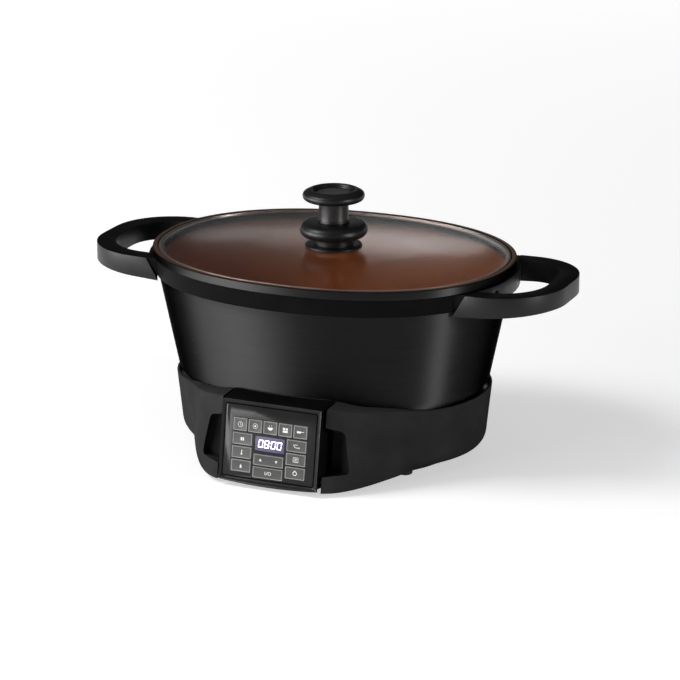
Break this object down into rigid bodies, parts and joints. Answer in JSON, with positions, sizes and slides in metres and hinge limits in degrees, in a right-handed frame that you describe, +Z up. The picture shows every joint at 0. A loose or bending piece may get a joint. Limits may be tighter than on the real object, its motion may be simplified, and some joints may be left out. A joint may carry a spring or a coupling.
{
  "type": "multicooker",
  "caption": "Oval countertop multicooker: heated base with a sloped key panel and display, lift-off pot with loop handles, and a glass lid with a stacked knob.",
  "frame": {"origin": "on the table, under the middle of the whole object's box", "axes": "+X to the right along the handles, seen from the control panel; +Y from the control panel to the back; +Z up"},
  "size_m": [0.5, 0.3094, 0.2632],
  "materials": {
    "housing_black": "satin moulded",
    "console_black": "semi-gloss moulded",
    "key_grey": "satin printed",
    "handle_black": "satin moulded",
    "pot_black": "cast, satin black outside and copper-brown non-stick inside",
    "foot_rubber": "matte",
    "steel": "plain",
    "lid_steel": "polished",
    "shield_metal": "plain sheet",
    "heater_metal": "as cast",
    "element_metal": "oxidised",
    "ceramic": "matte",
    "board_green": "solder mask",
    "relay_blue": "moulded",
    "capacitor_yellow": "moulded",
    "switch_black": "moulded",
    "display_dark": "smooth",
    "window_smoked": "smoked",
    "lid_glass": "clear",
    "knob_black": "satin moulded",
    "knob_stem_dark": "brushed dark"
  },
  "bodies": {
    "base": {"base_housing": "housing_black", "bottom_plate": "housing_black", "rubber_feet": "foot_rubber", "bottom_screws": "steel", "cord_gland": "foot_rubber", "heat_shield": "shield_metal", "shield_screws": "steel", "heating_plate": "heater_metal", "heating_element": "element_metal", "heater_posts": "steel", "thermal_fuse": "ceramic", "sensor_spring": "steel", "power_board": "board_green", "power_board_screws": "steel", "power_relay": "relay_blue", "filter_capacitor": "capacitor_yellow", "terminal_block": "ceramic", "control_console": "console_black", "control_board": "board_green", "control_board_screws": "steel", "tact_switches": "switch_black", "display_module": "display_dark", "display_window": "window_smoked", "rocker_bracket": "steel", "rocker_pin": "steel"},
    "pot": {"pot_shell": "pot_black", "handle_left": "handle_black", "handle_right": "handle_black", "handle_screws": "steel"},
    "lid": {"lid_glass": "lid_glass", "lid_band": "lid_steel", "steam_vent": "lid_steel", "knob_washer": "foot_rubber", "knob_screw": "steel", "knob_flange": "knob_black", "knob_collar": "knob_black", "knob_stem": "knob_stem_dark", "knob_cap": "knob_black"},
    "sensor": {"sensor_cup": "heater_metal", "sensor_clip": "steel"},
    "rocker": {"rocker_key": "key_grey"},
    "key_start": {"key_start": "key_grey"},
    "key_top_1": {"key_top_1": "key_grey"},
    "key_top_2": {"key_top_2": "key_grey"},
    "key_top_3": {"key_top_3": "key_grey"},
    "key_top_4": {"key_top_4": "key_grey"},
    "key_top_5": {"key_top_5": "key_grey"},
    "key_left_1": {"key_left_1": "key_grey"},
    "key_left_2": {"key_left_2": "key_grey"},
    "key_left_3": {"key_left_3": "key_grey"},
    "key_right_1": {"key_right_1": "key_grey"},
    "key_right_2": {"key_right_2": "key_grey"},
    "key_right_3": {"key_right_3": "key_grey"}
  },
  "joints": [
    {"name": "pot_lift", "type": "slide", "parent": "base", "child": "pot", "axis": [0, 0, 1], "range_m": [0, 0.12]},
    {"name": "lid_lift", "type": "slide", "parent": "pot", "child": "lid", "axis": [0, 0, 1], "range_m": [0, 0.1]},
    {"name": "sensor_press", "type": "slide", "parent": "base", "child": "sensor", "axis": [0, 0, 1], "range_m": [-0.002, 0], "stiffness_N_per_m": 500, "springref_m": 0.004, "deforming": ["sensor_spring"]},
    {"name": "rocker_tilt", "type": "hinge", "parent": "base", "child": "rocker", "pos_m": [0, -0.14517, 0.02874], "axis": [0, 0.1736, 0.9848], "range_deg": [-2, 2], "stiffness_Nm_per_rad": 0.05},
    {"name": "key_start_press", "type": "slide", "parent": "base", "child": "key_start", "axis": [0, 0.9848, -0.1736], "range_m": [0, 0.0006], "stiffness_N_per_m": 400},
    {"name": "key_top_1_press", "type": "slide", "parent": "base", "child": "key_top_1", "axis": [0, 0.9848, -0.1736], "range_m": [0, 0.0006], "stiffness_N_per_m": 400},
    {"name": "key_top_2_press", "type": "slide", "parent": "base", "child": "key_top_2", "axis": [0, 0.9848, -0.1736], "range_m": [0, 0.0006], "stiffness_N_per_m": 400},
    {"name": "key_top_3_press", "type": "slide", "parent": "base", "child": "key_top_3", "axis": [0, 0.9848, -0.1736], "range_m": [0, 0.0006], "stiffness_N_per_m": 400},
    {"name": "key_top_4_press", "type": "slide", "parent": "base", "child": "key_top_4", "axis": [0, 0.9848, -0.1736], "range_m": [0, 0.0006], "stiffness_N_per_m": 400},
    {"name": "key_top_5_press", "type": "slide", "parent": "base", "child": "key_top_5", "axis": [0, 0.9848, -0.1736], "range_m": [0, 0.0006], "stiffness_N_per_m": 400},
    {"name": "key_left_1_press", "type": "slide", "parent": "base", "child": "key_left_1", "axis": [0, 0.9848, -0.1736], "range_m": [0, 0.0006], "stiffness_N_per_m": 400},
    {"name": "key_left_2_press", "type": "slide", "parent": "base", "child": "key_left_2", "axis": [0, 0.9848, -0.1736], "range_m": [0, 0.0006], "stiffness_N_per_m": 400},
    {"name": "key_left_3_press", "type": "slide", "parent": "base", "child": "key_left_3", "axis": [0, 0.9848, -0.1736], "range_m": [0, 0.0006], "stiffness_N_per_m": 400},
    {"name": "key_right_1_press", "type": "slide", "parent": "base", "child": "key_right_1", "axis": [0, 0.9848, -0.1736], "range_m": [0, 0.0006], "stiffness_N_per_m": 400},
    {"name": "key_right_2_press", "type": "slide", "parent": "base", "child": "key_right_2", "axis": [0, 0.9848, -0.1736], "range_m": [0, 0.0006], "stiffness_N_per_m": 400},
    {"name": "key_right_3_press", "type": "slide", "parent": "base", "child": "key_right_3", "axis": [0, 0.9848, -0.1736], "range_m": [0, 0.0006], "stiffness_N_per_m": 400}
  ]
}
